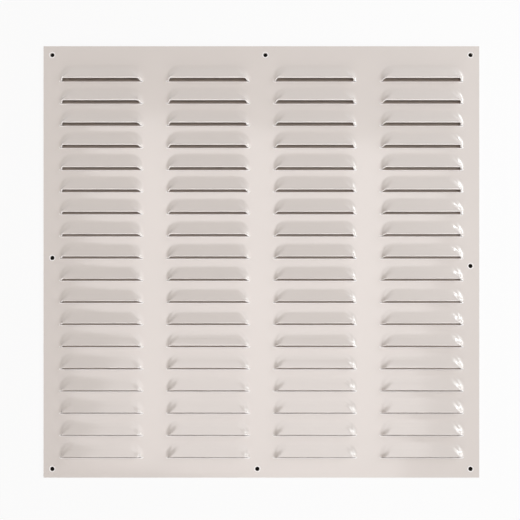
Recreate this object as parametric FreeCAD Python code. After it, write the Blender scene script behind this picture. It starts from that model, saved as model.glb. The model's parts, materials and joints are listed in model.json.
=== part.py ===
"""Louvred ventilation panel: one flat steel sheet with rows of louvres pressed out of it.

The sheet lies flat. Its back face is on z = 0, the louvres stand up from the front face,
+X runs along the louvres and +Y points away from their open sides. The origin is at the
middle of the sheet. All lengths are in millimetres, angles in degrees.
"""
import FreeCAD, Part
import math
import os
from FreeCAD import Rotation, Vector

# ---- the sheet
sheet_width = 500.0
sheet_height = 495.0
sheet_thickness = 1.2

# ---- one louvre
louvre_length = 91.6    # over its two closed ends, at the front face
louvre_depth = 17.1     # from the slit back to the line about which the flap is bent
lip_height = 4.8        # top edge of the lip above the front face
hinge_radius = 10.0     # bend between the front face and the flap
end_wall_angle = 45.0   # slope of the closed ends and of their round corners
end_straight = 6.5      # each end runs straight this far back from the slit
corner_overrun = 2.5    # the round corner is cut off by the bend this far before its crown

# ---- the field of louvres, centred on the sheet
row_gap = 8.3           # flat strip between the slit of one row and the flap of the next
column_gap = 30.9       # flat strip between the ends of neighbours

# ---- the screw holes: one at each corner and one near the middle of each edge
screw_hole_diameter = 5.0
screw_hole_inset = 10.0     # hole centre to the edges of the sheet
screw_hole_land = 2.5       # least flat metal between a hole's row and the louvres
middle_hole_step = 4.6      # the middle holes are stepped clockwise round the sheet by this

# ---- worked out from the sizes above
# The flap keeps its cut edge square to its own face, so slit, lip and bend line make a
# right-angled triangle with the depth as its longest side.
flap_angle = 0.5 * math.asin(2 * lip_height / louvre_depth)
bend_setback = hinge_radius * math.tan(flap_angle / 2)
bend_start = louvre_depth + bend_setback
corner_radius = bend_start + corner_overrun - end_straight
end_wall_run = 1 / math.tan(math.radians(end_wall_angle))
tool_height = louvre_depth * math.tan(flap_angle)
row_pitch = louvre_depth + row_gap
column_pitch = louvre_length + column_gap
border = screw_hole_inset + screw_hole_diameter / 2 + screw_hole_land


def copies(room, size, pitch):
    """How many copies of a size fit in the room at a pitch."""
    return int((room - size) / pitch) + 1


rows = copies(sheet_height - 2 * border, louvre_depth, row_pitch)
columns = copies(sheet_width - 2 * border, louvre_length, column_pitch)


def polygon(points):
    """A closed chain of straight edges, as a face."""
    return Part.Face(Part.makePolygon(points + points[:1]))


def tapered_block():
    """The footprint of a louvre raised with sloping ends: two round corners and a straight front."""
    half = louvre_length / 2
    top_half = half - tool_height * end_wall_run
    centre_x = half - corner_radius
    top_radius = corner_radius - tool_height * end_wall_run
    section = polygon([
        Vector(-half, 0, 0),
        Vector(half, 0, 0),
        Vector(top_half, 0, tool_height),
        Vector(-top_half, 0, tool_height),
    ])
    front = section.extrude(Vector(0, end_straight, 0))
    corner = Part.makeCone(
        corner_radius, top_radius, tool_height, Vector(0, 0, 0), Vector(0, 0, 1), 90
    )
    right = corner.translated(Vector(centre_x, end_straight, 0))
    left = corner.copy()
    left.rotate(Vector(0, 0, 0), Vector(0, 0, 1), 90)
    left = left.translated(Vector(-centre_x, end_straight, 0))
    back = Part.makeBox(
        2 * centre_x, corner_radius, tool_height, Vector(-centre_x, end_straight, 0)
    )
    return front.multiFuse([right, left, back]).removeSplitter()


def flap_wedge(front):
    """What lies under the flap's upper face: bend, slope and then the front points given."""
    x = -louvre_length
    slope_start = Vector(
        x,
        louvre_depth - bend_setback * math.cos(flap_angle),
        bend_setback * math.sin(flap_angle),
    )
    bend_middle = Vector(
        x,
        bend_start - hinge_radius * math.sin(flap_angle / 2),
        hinge_radius * (1 - math.cos(flap_angle / 2)),
    )
    bend = Part.Arc(Vector(x, bend_start, 0), bend_middle, slope_start).toShape()
    outline = [slope_start] + [Vector(x, y, z) for y, z in front] + [Vector(x, bend_start, 0)]
    face = Part.Face(Part.Wire([bend] + Part.makePolygon(outline).Edges))
    return face.extrude(Vector(2 * louvre_length, 0, 0))


def louvre_mound():
    """The louvre as a solid mound on the front face. Its front is square to the flap."""
    lip = (lip_height * math.tan(flap_angle), lip_height)
    return tapered_block().common(flap_wedge([lip, (0, 0)]))


def louvre_pocket():
    """The hollow under the louvre: the mound's faces, one sheet thickness lower."""
    hollow = tapered_block().common(flap_wedge([(0, tool_height), (0, 0)]))
    return hollow.translated(Vector(0, 0, -sheet_thickness))


def louvre_places():
    """Where the middle of each slit is, on the front face, row by row."""
    field = (rows - 1) * row_pitch + louvre_depth
    first_x = -(columns - 1) * column_pitch / 2
    first_y = field / 2 - louvre_depth
    return [
        Vector(first_x + column * column_pitch, first_y - row * row_pitch, sheet_thickness)
        for row in range(rows)
        for column in range(columns)
    ]


def hole_places():
    """Corner holes, and middle holes that are stepped clockwise, a quarter turn apart."""
    reach_x = sheet_width / 2 - screw_hole_inset
    reach_y = sheet_height / 2 - screw_hole_inset
    step = middle_hole_step
    corners = [Vector(sx * reach_x, sy * reach_y, 0) for sx in (-1, 1) for sy in (-1, 1)]
    middles = [
        Vector(step, reach_y, 0),
        Vector(reach_x, -step, 0),
        Vector(-step, -reach_y, 0),
        Vector(-reach_x, step, 0),
    ]
    return corners + middles


def louvred_panel():
    """The whole sheet: plate and mounds, less the hollows and the screw holes."""
    plate = Part.makeBox(
        sheet_width,
        sheet_height,
        sheet_thickness,
        Vector(-sheet_width / 2, -sheet_height / 2, 0),
    )
    mound = louvre_mound()
    pocket = louvre_pocket()
    hole = Part.makeCylinder(screw_hole_diameter / 2, sheet_thickness)
    places = louvre_places()
    raised = plate.multiFuse([mound.translated(place) for place in places])
    cuts = [pocket.translated(place) for place in places]
    cuts += [hole.translated(place) for place in hole_places()]
    return raised.cut(cuts).removeSplitter()


os.makedirs("parts", exist_ok=True)
louvred_panel().exportStep("parts/louvred_panel.step")
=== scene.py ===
"""The louvred panel as it looks: a thin pressed steel sheet with a warm off-white powder coat.

It lies on a pale floor with its louvres up, seen from above. Lengths are in millimetres and
become metres where a mesh is placed. The lamps and the floor's size are in metres.
"""
import json
import math

import bmesh
import bpy
from mathutils import Matrix, Vector


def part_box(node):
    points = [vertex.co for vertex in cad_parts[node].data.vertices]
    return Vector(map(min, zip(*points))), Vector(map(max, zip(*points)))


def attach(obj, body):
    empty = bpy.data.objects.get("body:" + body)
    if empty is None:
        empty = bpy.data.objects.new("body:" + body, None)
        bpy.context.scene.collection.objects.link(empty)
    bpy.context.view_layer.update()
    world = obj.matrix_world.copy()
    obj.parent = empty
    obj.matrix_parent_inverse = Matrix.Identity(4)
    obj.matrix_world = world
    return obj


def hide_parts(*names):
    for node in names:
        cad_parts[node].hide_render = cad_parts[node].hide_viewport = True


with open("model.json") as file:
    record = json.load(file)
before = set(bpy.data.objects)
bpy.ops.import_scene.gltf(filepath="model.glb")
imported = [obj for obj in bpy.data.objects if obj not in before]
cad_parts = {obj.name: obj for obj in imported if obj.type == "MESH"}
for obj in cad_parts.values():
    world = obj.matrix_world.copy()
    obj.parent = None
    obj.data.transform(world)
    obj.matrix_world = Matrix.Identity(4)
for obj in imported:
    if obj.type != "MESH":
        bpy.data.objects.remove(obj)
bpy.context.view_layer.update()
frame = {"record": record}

MM = 0.001
CLOSE = 1e-4                 # points nearer than this are the same point
NODE = "louvred_panel"

# ---- the sheet and its screw holes, from the frame
sheet_low, sheet_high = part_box(NODE)
sheet_width = (sheet_high.x - sheet_low.x) / MM
sheet_height = (sheet_high.y - sheet_low.y) / MM
mounts = {mount["name"]: mount["dims"] for mount in frame["record"]["mounts"]}
hole_radius = mounts["corner_screws"]["hole_r_mm"]
hole_reach_x = mounts["corner_screws"]["spacing_x_mm"] / 2
hole_reach_y = mounts["corner_screws"]["spacing_y_mm"] / 2
hole_circle = mounts["side_screws"]["pcd_mm"] / 2
middle_hole_step = math.sqrt(hole_circle**2 - hole_reach_x**2)

# ---- one louvre: the slit lies along y = 0, and the flap rises towards it from behind
lip_height = 4.8
sheet_thickness = sheet_high.z / MM - lip_height
louvre_depth = 17.1
flap_angle = 0.5 * math.asin(2 * lip_height / louvre_depth)
hinge_radius = 14.0
bend_start = louvre_depth + hinge_radius * math.tan(flap_angle / 2)
foot_half = 46.0             # from the louvre's middle to the foot of its end walls
foot_straight = 2.0          # where the round corners begin
foot_crown = 16.0            # how far back the round corners reach
corner_width = 15.0
corner_depth = foot_crown - foot_straight
slit_kerf = 0.4              # width of the cut between the lip's foot and the flat metal
kerf_share = 0.99            # of the slit's length that the cut has at its front

# ---- its end walls are steep and crisp at the slit, flatter and flared further back
slit_wall = math.radians(67)
back_wall = math.radians(38)
slit_foot_radius = 1.5
back_foot_radius = 11.0
slit_blend = 3.0             # the flap and the end walls run into each other over this height
back_blend = 4.5
flare_run = 7.5              # how far behind the slit the walls reach their back shape

# ---- the field of louvres
rows, columns = 18, 4
row_pitch = 25.4
column_pitch = 122.5
first_slit_y = ((rows - 1) * row_pitch + louvre_depth) / 2 - louvre_depth
first_column_x = -(columns - 1) * column_pitch / 2
column_middles = [first_column_x + column * column_pitch for column in range(columns)]
screw_border = 16.0          # the screw holes lie in this border, and the louvres inside it

# ---- cut edges: how far they are rounded, and how wide the painted highlight beside them is
edge_softness = 0.4
edge_highlight_band = 1.0
hole_highlight_crest = 0.5             # the painted highlight is brightest this far outside a screw hole
hole_highlight_band = 1.3

# ---- how finely the sheet is drawn: rings of faces inside each louvre's rim
flare = back_foot_radius * math.tan(back_wall / 2)
rim_margin = 0.5
rim_half = foot_half + flare + rim_margin
rim_crown = foot_crown + flare + rim_margin
ring_step = 0.78
ring_count = 15
corner_steps = 10
front_cuts = (0.9, 1.9, 2.9, 3.9)        # more edges behind the slit, where walls are steep
hole_steps = 32
cell_margin = 2.0
cell_half_width = rim_half + cell_margin
cell_front = -(row_pitch - rim_crown) / 2
field_top = first_slit_y + cell_front + row_pitch
field_bottom = field_top - rows * row_pitch


# ---------------------------------------------------------------- the pressed form
def bend_rise(distance, radius, angle):
    """Height of a surface that bends up from flat with a radius, then runs straight at an angle."""
    if distance <= 0:
        return 0.0
    if distance < radius * math.sin(angle):
        return radius - math.sqrt(radius**2 - distance**2)
    run = distance - radius * math.sin(angle)
    return radius * (1 - math.cos(angle)) + run * math.tan(angle)


def foot_distance(x, y):
    """How far a point lies inside the foot of the end walls, or of a round corner."""
    across = abs(x) - (foot_half - corner_width)
    along = y - foot_straight
    if along <= 0:
        return foot_half - abs(x)
    if across <= 0:
        return foot_crown - y
    ring = math.hypot(across / corner_width, along / corner_depth)
    slope = math.hypot(across / corner_width**2, along / corner_depth**2)
    return (1 - ring) * ring / slope


def pressed_height(x, y):
    """Height of the louvre over the flat sheet: the lower of flap and end wall, blended."""
    back = min(max(y / flare_run, 0.0), 1.0)
    back = back * back * (3 - 2 * back)
    angle = slit_wall + (back_wall - slit_wall) * back
    radius = slit_foot_radius + (back_foot_radius - slit_foot_radius) * back
    flap = bend_rise(bend_start - y, hinge_radius, flap_angle)
    inside = foot_distance(x, y) + radius * math.tan(angle / 2)
    wall = bend_rise(inside, radius, angle)
    low = min(flap, wall)
    blend = min(slit_blend + (back_blend - slit_blend) * back, 2 * low)
    overlap = blend - abs(flap - wall)
    if overlap <= 0:
        return low
    return low - overlap**2 / (4 * blend)


# ---------------------------------------------------------------- one louvre's mesh
def everything(bm):
    return bm.verts[:] + bm.edges[:] + bm.faces[:]


def rim_outline(bm):
    """The louvre's rim as one flat face: straight front, straight ends, two round corners."""
    front_y = -(ring_count + 1) * ring_step
    middle = foot_half - corner_width
    start = bm.verts.new((rim_half, foot_straight, 0))
    bmesh.ops.spin(
        bm,
        geom=[start],
        cent=(middle, foot_straight, 0),
        axis=(0, 0, 1),
        angle=math.pi / 2,
        steps=corner_steps,
    )
    squash = (rim_crown - foot_straight) / (rim_half - middle)
    ground = Matrix.Translation((0, -foot_straight, 0))
    bmesh.ops.scale(bm, vec=(1, squash, 1), space=ground, verts=bm.verts[:])
    low = bm.verts.new((rim_half, front_y, 0))
    bm.edges.new((low, start))
    bmesh.ops.mirror(bm, geom=bm.verts[:] + bm.edges[:], axis="X", merge_dist=1e-6)
    tips = [vert for vert in bm.verts if len(vert.link_edges) == 1]
    bm.edges.new([vert for vert in tips if vert.co.y < 0])
    bm.edges.new([vert for vert in tips if vert.co.y > 0])
    return bmesh.ops.contextual_create(bm, geom=bm.edges[:])["faces"]


def louvre_form(bm):
    """The louvre's front surface: rings inside the rim, raised, and cut square to the flap."""
    faces = rim_outline(bm)
    for _ in range(ring_count):
        bmesh.ops.inset_region(
            bm, faces=faces, thickness=ring_step, use_even_offset=True, use_boundary=True
        )
    for cut_y in front_cuts:
        bmesh.ops.bisect_plane(
            bm, geom=everything(bm), plane_co=(0, cut_y, 0), plane_no=(0, 1, 0)
        )
    for vert in bm.verts:
        if not vert.is_boundary:
            vert.co.z = pressed_height(vert.co.x, vert.co.y)
    bmesh.ops.bisect_plane(
        bm,
        geom=everything(bm),
        plane_co=(0, 0, 0),
        plane_no=(0, -math.cos(flap_angle), math.sin(flap_angle)),
        clear_outer=True,
        dist=1e-5,
    )


def loop(bm, segments, place):
    """A ring of edges round a circle of radius 1, set in its place."""
    verts = bmesh.ops.create_circle(bm, segments=segments, radius=1, matrix=place)["verts"]
    return list({edge for vert in verts for edge in vert.link_edges})


def circle(bm, x, y, radius):
    return loop(bm, hole_steps, Matrix.Translation((x, y, 0)) @ Matrix.Scale(radius, 4))


def rectangle(bm, x, y, half_x, half_y):
    """A circle of four segments, turned by an eighth and stretched."""
    corner = math.sqrt(2)
    stretch = Matrix.Diagonal((half_x * corner, half_y * corner, 1, 1))
    turn = Matrix.Rotation(math.radians(45), 4, "Z")
    return loop(bm, 4, Matrix.Translation((x, y, 0)) @ stretch @ turn)


def joined(bm, points):
    """Edges from each vertex to the next."""
    return [bm.edges.new(pair) for pair in zip(points, points[1:])]


def is_rim(edge):
    """Whether an open edge lies in the flat sheet, not along a lip."""
    return edge.is_boundary and all(abs(vert.co.z) < 1e-6 for vert in edge.verts)


def louvre_cell(bm):
    """One louvre with the flat metal round it, slit open along its front."""
    louvre_form(bm)
    rim = [edge for edge in bm.edges if is_rim(edge)]
    ends = {vert for edge in rim for vert in edge.verts if abs(vert.co.y) < CLOSE}
    left = max((vert for vert in ends if vert.co.x < 0), key=lambda vert: vert.co.x)
    right = min((vert for vert in ends if vert.co.x > 0), key=lambda vert: vert.co.x)
    reach = [vert.co.x * kerf_share for vert in (left, right)]
    kerf = [bm.verts.new((x, -slit_kerf, 0)) for x in reach]
    # the band in front of the slit, over which the painted highlight fades
    strip = [bm.verts.new((x, -slit_kerf - edge_highlight_band, 0)) for x in reach]
    slit = joined(bm, [left, *kerf, right])
    front = joined(bm, [left, *strip, right])
    bmesh.ops.contextual_create(bm, geom=slit + front)
    outline = rectangle(bm, 0, cell_front + row_pitch / 2, cell_half_width, row_pitch / 2)
    bmesh.ops.triangle_fill(bm, edges=rim + front + outline, use_beauty=True)


# ---------------------------------------------------------------- the whole sheet's mesh
def louvre_field():
    """All louvres in their rows and columns: one block of flat metal for each column."""
    cell = bmesh.new()
    louvre_cell(cell)
    cell_mesh = bpy.data.meshes.new("cell")
    cell.to_mesh(cell_mesh)
    cell.free()
    bm = bmesh.new()
    for x in column_middles:
        for row in range(rows):
            known = len(bm.verts)
            bm.from_mesh(cell_mesh)
            bm.verts.ensure_lookup_table()
            y = first_slit_y - row * row_pitch
            bmesh.ops.translate(bm, verts=bm.verts[known:], vec=(x, y, 0))
    bpy.data.meshes.remove(cell_mesh)
    bmesh.ops.remove_doubles(bm, verts=bm.verts[:], dist=CLOSE)
    return bm


def on_block_edge(edge):
    """Whether an edge lies on the outline of one of the columns' blocks."""
    if not is_rim(edge):
        return False
    a, b = (vert.co for vert in edge.verts)
    if abs(a.y - b.y) < CLOSE:
        return abs(a.y - field_top) < CLOSE or abs(a.y - field_bottom) < CLOSE
    if abs(a.x - b.x) > CLOSE:
        return False
    return any(abs(abs(a.x - middle) - cell_half_width) < CLOSE for middle in column_middles)


def hole_places():
    """Corner holes, and middle holes that are stepped clockwise, a quarter turn apart."""
    x, y, step = hole_reach_x, hole_reach_y, middle_hole_step
    corners = [(sx * x, sy * y) for sx in (-1, 1) for sy in (-1, 1)]
    return corners + [(step, y), (x, -step), (-step, -y), (-x, step)]


def screw_hole(bm, x, y):
    """Two rings of faces round a hole, and the outer ring's edges, for the sheet to join."""
    hole = circle(bm, x, y, hole_radius)
    crest = circle(bm, x, y, hole_radius + hole_highlight_crest)
    band = circle(bm, x, y, hole_radius + hole_highlight_band)
    bmesh.ops.bridge_loops(bm, edges=hole + crest)
    bmesh.ops.bridge_loops(bm, edges=crest + band)
    return band


def beside_hole(x, y):
    """Whether a point lies on the crest round a screw hole, or nearer."""
    near = hole_radius + (hole_highlight_crest + hole_highlight_band) / 2
    return any(math.hypot(x - hole_x, y - hole_y) < near for hole_x, hole_y in hole_places())


def mark_edge_highlights(bm):
    """A painted highlight: a value of 1 along slits and lips and beside screw holes, which fades
    out over the band.
    """
    layer = bm.verts.layers.float.new("cut_edge_highlight")
    reach_x = sheet_width / 2 - screw_border
    reach_y = sheet_height / 2 - screw_border
    for vert in bm.verts:
        if abs(vert.co.x) < reach_x and abs(vert.co.y) < reach_y:
            vert[layer] = float(vert.is_boundary)
        elif not vert.is_boundary:
            vert[layer] = float(beside_hole(vert.co.x, vert.co.y))


def panel_surface():
    """The front surface of the whole sheet, with its flat metal at z = 0."""
    bm = louvre_field()
    loops = [edge for edge in bm.edges if on_block_edge(edge)]
    loops += rectangle(bm, 0, 0, sheet_width / 2, sheet_height / 2)
    for x, y in hole_places():
        loops += screw_hole(bm, x, y)
    bmesh.ops.triangle_fill(bm, edges=loops, use_beauty=True)
    down = [face for face in bm.faces if face.normal.z < 0]
    bmesh.ops.reverse_faces(bm, faces=down)
    mark_edge_highlights(bm)
    return bm


def finish_edges(sheet):
    """The sheet's thickness below its front surface, and rounded cut edges."""
    thickness = sheet.modifiers.new("thickness", "SOLIDIFY")
    thickness.thickness = sheet_thickness * MM
    thickness.offset = -1
    thickness.use_even_offset = True
    soften = sheet.modifiers.new("soft_edges", "BEVEL")
    soften.width = edge_softness * MM
    soften.segments = 3
    soften.limit_method = "ANGLE"
    soften.angle_limit = math.radians(50)
    normals = sheet.modifiers.new("flat_faces_stay_flat", "WEIGHTED_NORMAL")
    normals.keep_sharp = False
    normals.weight = 80


def pressed_sheet():
    bm = panel_surface()
    raised = Matrix.Translation((0, 0, sheet_thickness * MM))
    bmesh.ops.transform(bm, matrix=raised @ Matrix.Scale(MM, 4), verts=bm.verts[:])
    for face in bm.faces:
        face.smooth = True
    mesh = bpy.data.meshes.new("pressed_sheet")
    bm.to_mesh(mesh)
    bm.free()
    sheet = bpy.data.objects.new("pressed_sheet", mesh)
    bpy.context.scene.collection.objects.link(sheet)
    finish_edges(sheet)
    return sheet


# ---------------------------------------------------------------- the powder coat
coat_colour = (0.71, 0.65, 0.61)
# a painted highlight along cut edges and round screw holes
coat_edge_highlight = (0.97, 0.94, 0.92)
cloud_scale = 7              # noise scales are per metre
sheen_scale = 60
peel_scale = 900
grain_scale = 4200
COLOUR_A, COLOUR_B, COLOUR_OUT = 6, 7, 2     # the colour sockets of a Mix node


def new_material(name):
    material = bpy.data.materials.new(name)
    material.use_nodes = True
    nodes = material.node_tree.nodes
    nodes.clear()
    return material, nodes, material.node_tree.links


def noise(group, place, scale, detail, roughness=0.5):
    node = group.nodes.new("ShaderNodeTexNoise")
    node.inputs["Scale"].default_value = scale
    node.inputs["Detail"].default_value = detail
    node.inputs["Roughness"].default_value = roughness
    group.links.new(place.outputs["Object"], node.inputs["Vector"])
    return node.outputs["Fac"]


def spread(group, source, low, high):
    """The middle part of a noise's values, spread from low to high."""
    node = group.nodes.new("ShaderNodeMapRange")
    node.inputs["From Min"].default_value = 0.3
    node.inputs["From Max"].default_value = 0.7
    node.inputs["To Min"].default_value = low
    node.inputs["To Max"].default_value = high
    group.links.new(source, node.inputs["Value"])
    return node.outputs["Result"]


def bump(group, height, strength, depth):
    node = group.nodes.new("ShaderNodeBump")
    node.inputs["Strength"].default_value = strength
    node.inputs["Distance"].default_value = depth * MM
    group.links.new(height, node.inputs["Height"])
    return node


def coat_tint(group, place, given):
    """The coat's colour: faintly cloudy, and paler along cut edges and round screw holes, a painted
    highlight.
    """
    nodes, links = group.nodes, group.links
    tone = nodes.new("ShaderNodeHueSaturation")
    clouds = spread(group, noise(group, place, cloud_scale, 3), 0.985, 1.015)
    links.new(clouds, tone.inputs["Value"])
    links.new(given.outputs["Colour"], tone.inputs["Color"])
    # painted highlight: a paler colour where the mask is set
    edge = nodes.new("ShaderNodeAttribute")
    edge.attribute_name = "cut_edge_highlight"
    band = nodes.new("ShaderNodeMapRange")
    band.interpolation_type = "SMOOTHSTEP"
    band.inputs["From Max"].default_value = 0.5
    links.new(edge.outputs["Fac"], band.inputs["Value"])
    pale = nodes.new("ShaderNodeMix")
    pale.data_type = "RGBA"
    links.new(band.outputs["Result"], pale.inputs["Factor"])
    links.new(tone.outputs["Color"], pale.inputs[COLOUR_A])
    links.new(given.outputs["Edge Highlight"], pale.inputs[COLOUR_B])
    return pale.outputs[COLOUR_OUT]


def coat_texture(group, place):
    """The faint orange peel of a baked coat, with a finer grain over it."""
    coarse = bump(group, noise(group, place, peel_scale, 2, 0.55), 0.25, 0.02)
    fine = bump(group, noise(group, place, grain_scale, 1), 0.15, 0.006)
    group.links.new(coarse.outputs["Normal"], fine.inputs["Normal"])
    return fine.outputs["Normal"]


def powder_finish():
    """Colour, roughness and surface texture of a sprayed and baked powder coat."""
    group = bpy.data.node_groups.new("powder_finish", "ShaderNodeTree")
    for name, kind, way in (
        ("Colour", "NodeSocketColor", "INPUT"),
        ("Edge Highlight", "NodeSocketColor", "INPUT"),
        ("Colour", "NodeSocketColor", "OUTPUT"),
        ("Roughness", "NodeSocketFloat", "OUTPUT"),
        ("Normal", "NodeSocketVector", "OUTPUT"),
    ):
        group.interface.new_socket(name=name, in_out=way, socket_type=kind)
    given = group.nodes.new("NodeGroupInput")
    out = group.nodes.new("NodeGroupOutput")
    place = group.nodes.new("ShaderNodeTexCoord")
    sheen = spread(group, noise(group, place, sheen_scale, 2), 0.30, 0.36)
    group.links.new(coat_tint(group, place, given), out.inputs["Colour"])
    group.links.new(sheen, out.inputs["Roughness"])
    group.links.new(coat_texture(group, place), out.inputs["Normal"])
    return group


def powder_coat():
    material, nodes, links = new_material("powder_coat")
    out = nodes.new("ShaderNodeOutputMaterial")
    shader = nodes.new("ShaderNodeBsdfPrincipled")
    shader.inputs["Coat Weight"].default_value = 1.0
    shader.inputs["Coat Roughness"].default_value = 0.10
    finish = nodes.new("ShaderNodeGroup")
    finish.node_tree = powder_finish()
    finish.inputs["Colour"].default_value = (*coat_colour, 1)
    finish.inputs["Edge Highlight"].default_value = (*coat_edge_highlight, 1)
    links.new(finish.outputs["Colour"], shader.inputs["Base Color"])
    links.new(finish.outputs["Roughness"], shader.inputs["Roughness"])
    links.new(finish.outputs["Normal"], shader.inputs["Normal"])
    links.new(shader.outputs["BSDF"], out.inputs["Surface"])
    return material


# ---------------------------------------------------------------- the stage
floor_half = 8.0             # in metres
floor_depth = 0.4            # below the sheet
floor_glow = 0.85            # the floor's own share where it is seen; its shading gives the rest
world_level = 0.06
# name, place and size in metres, power in watts, colour, and whether the coat shows it
LIGHTS = [
    ("overhead", (0.02, 0.18, 1.7), (1.95, 1.95), 21.4, (1, 0.96, 0.965), True),
    ("right", (1.5, 0.1, 1.0), (1.8, 0.12), 4.0, (0.90, 0.98, 1), True),
    ("key", (1.745, 0.45, 0.62), (2.2, 0.36), 19, (0.93, 0.98, 1), True),
    ("front", (0, -2.1, 0.52), (2.0, 0.45), 22, (1, 0.98, 0.96), False),
    ("left", (-1.5, 0.8, 0.95), (0.8, 0.8), 2.2, (1, 0.92, 0.6), False),
]
# name, distance inside the sheet's edges, depth below the sheet, colour
# dark and grey sheets under the panel: painted shade, seen through the screw holes and the slits
LININGS = [
    ("painted_shade_lining", 5, 0.3, (0.012, 0.011, 0.010)),      # seen through the screw holes
    ("painted_shade_pad", 15, 0.2, (0.52, 0.45, 0.40)),           # seen through the slits
]


def seen_share(nodes, links, share):
    """The given share for rays that come from the camera, a reflection or through glass."""
    path = nodes.new("ShaderNodeLightPath")
    seen = path.outputs["Is Camera Ray"]
    for ray in ("Is Glossy Ray", "Is Transmission Ray"):
        either = nodes.new("ShaderNodeMath")
        either.operation = "MAXIMUM"
        links.new(seen, either.inputs[0])
        links.new(path.outputs[ray], either.inputs[1])
        seen = either.outputs[0]
    part = nodes.new("ShaderNodeMath")
    part.operation = "MULTIPLY"
    part.inputs[1].default_value = share
    links.new(seen, part.inputs[0])
    return part.outputs[0]


def seen_from_above(nodes, links, shader):
    """The shader on a face's front, and nothing on its back."""
    clear = nodes.new("ShaderNodeBsdfTransparent")
    geometry = nodes.new("ShaderNodeNewGeometry")
    sided = nodes.new("ShaderNodeMixShader")
    out = nodes.new("ShaderNodeOutputMaterial")
    links.new(geometry.outputs["Backfacing"], sided.inputs["Fac"])
    links.new(shader.outputs[0], sided.inputs[1])
    links.new(clear.outputs[0], sided.inputs[2])
    links.new(sided.outputs[0], out.inputs["Surface"])


def matte(nodes, colour):
    shader = nodes.new("ShaderNodeBsdfDiffuse")
    shader.inputs["Color"].default_value = (*colour, 1)
    return shader


def floor_material():
    """Nearly white where it is seen, and it keeps the sheet's shadow."""
    material, nodes, links = new_material("pale_floor")
    glow = nodes.new("ShaderNodeEmission")
    glow.inputs["Strength"].default_value = 1.0
    lit = nodes.new("ShaderNodeMixShader")
    links.new(seen_share(nodes, links, floor_glow), lit.inputs["Fac"])
    links.new(matte(nodes, (0.9, 0.9, 0.9)).outputs[0], lit.inputs[1])
    links.new(glow.outputs[0], lit.inputs[2])
    seen_from_above(nodes, links, lit)
    return material


def lining_material(name, colour):
    material, nodes, links = new_material(name)
    seen_from_above(nodes, links, matte(nodes, colour))
    return material


def flat_sheet(name, half_x, half_y, depth, material):
    """A level rectangle under the panel. It belongs to the stage."""
    bm = bmesh.new()
    bmesh.ops.create_grid(bm, x_segments=1, y_segments=1, size=1)
    bmesh.ops.scale(bm, vec=(half_x, half_y, 1), verts=bm.verts[:])
    bmesh.ops.translate(bm, vec=(0, 0, -depth * MM), verts=bm.verts[:])
    mesh = bpy.data.meshes.new(name)
    bm.to_mesh(mesh)
    bm.free()
    mesh.materials.append(material)
    piece = bpy.data.objects.new(name, mesh)
    bpy.context.scene.collection.objects.link(piece)


def area_light(name, place, size, power, colour, reflected):
    """A rectangular lamp that points at the middle of the panel."""
    data = bpy.data.lights.new(name, "AREA")
    data.shape = "RECTANGLE"
    data.size, data.size_y = size
    data.energy = power
    data.color = colour
    lamp = bpy.data.objects.new(name, data)
    lamp.location = place
    lamp.rotation_mode = "QUATERNION"
    lamp.rotation_quaternion = (-Vector(place)).to_track_quat("-Z", "Y")
    lamp.visible_glossy = reflected
    bpy.context.scene.collection.objects.link(lamp)


def white_world():
    """White where it is seen, and a faint even light everywhere else."""
    world = bpy.data.worlds.new("studio")
    bpy.context.scene.world = world
    world.use_nodes = True
    nodes, links = world.node_tree.nodes, world.node_tree.links
    back = nodes["Background"]
    back.inputs["Color"].default_value = (1, 1, 1, 1)
    level = nodes.new("ShaderNodeMath")
    level.operation = "MAXIMUM"
    level.inputs[0].default_value = world_level
    links.new(seen_share(nodes, links, 1.0), level.inputs[1])
    links.new(level.outputs[0], back.inputs["Strength"])


def studio():
    flat_sheet("floor", floor_half, floor_half, floor_depth, floor_material())
    for name, margin, depth, colour in LININGS:
        half_x = (sheet_width / 2 - margin) * MM
        half_y = (sheet_height / 2 - margin) * MM
        flat_sheet(name, half_x, half_y, depth, lining_material(name, colour))
    white_world()
    for light in LIGHTS:
        area_light(*light)


def camera():
    """Straight above the sheet, off its middle, with the lens shifted back over it."""
    frame_width = 596.7      # of the sheet's plane, across the picture
    height = 439.0           # of the lens above the front face
    foot = Vector((-20.0, -120.0))
    aim = Vector((-1.6, 2.2))
    data = bpy.data.cameras.new("camera")
    data.sensor_width = 36
    data.lens = data.sensor_width * height / frame_width
    data.shift_x = (aim.x - foot.x) / frame_width
    data.shift_y = (aim.y - foot.y) / frame_width
    view = bpy.data.objects.new("camera", data)
    view.location = (foot.x * MM, foot.y * MM, (sheet_thickness + height) * MM)
    bpy.context.scene.collection.objects.link(view)
    bpy.context.scene.camera = view


# ---------------------------------------------------------------- the scene
camera()
studio()
panel = pressed_sheet()
panel.data.materials.append(powder_coat())
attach(panel, "root")
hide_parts(NODE)
bpy.context.scene.view_settings.view_transform = "Standard"
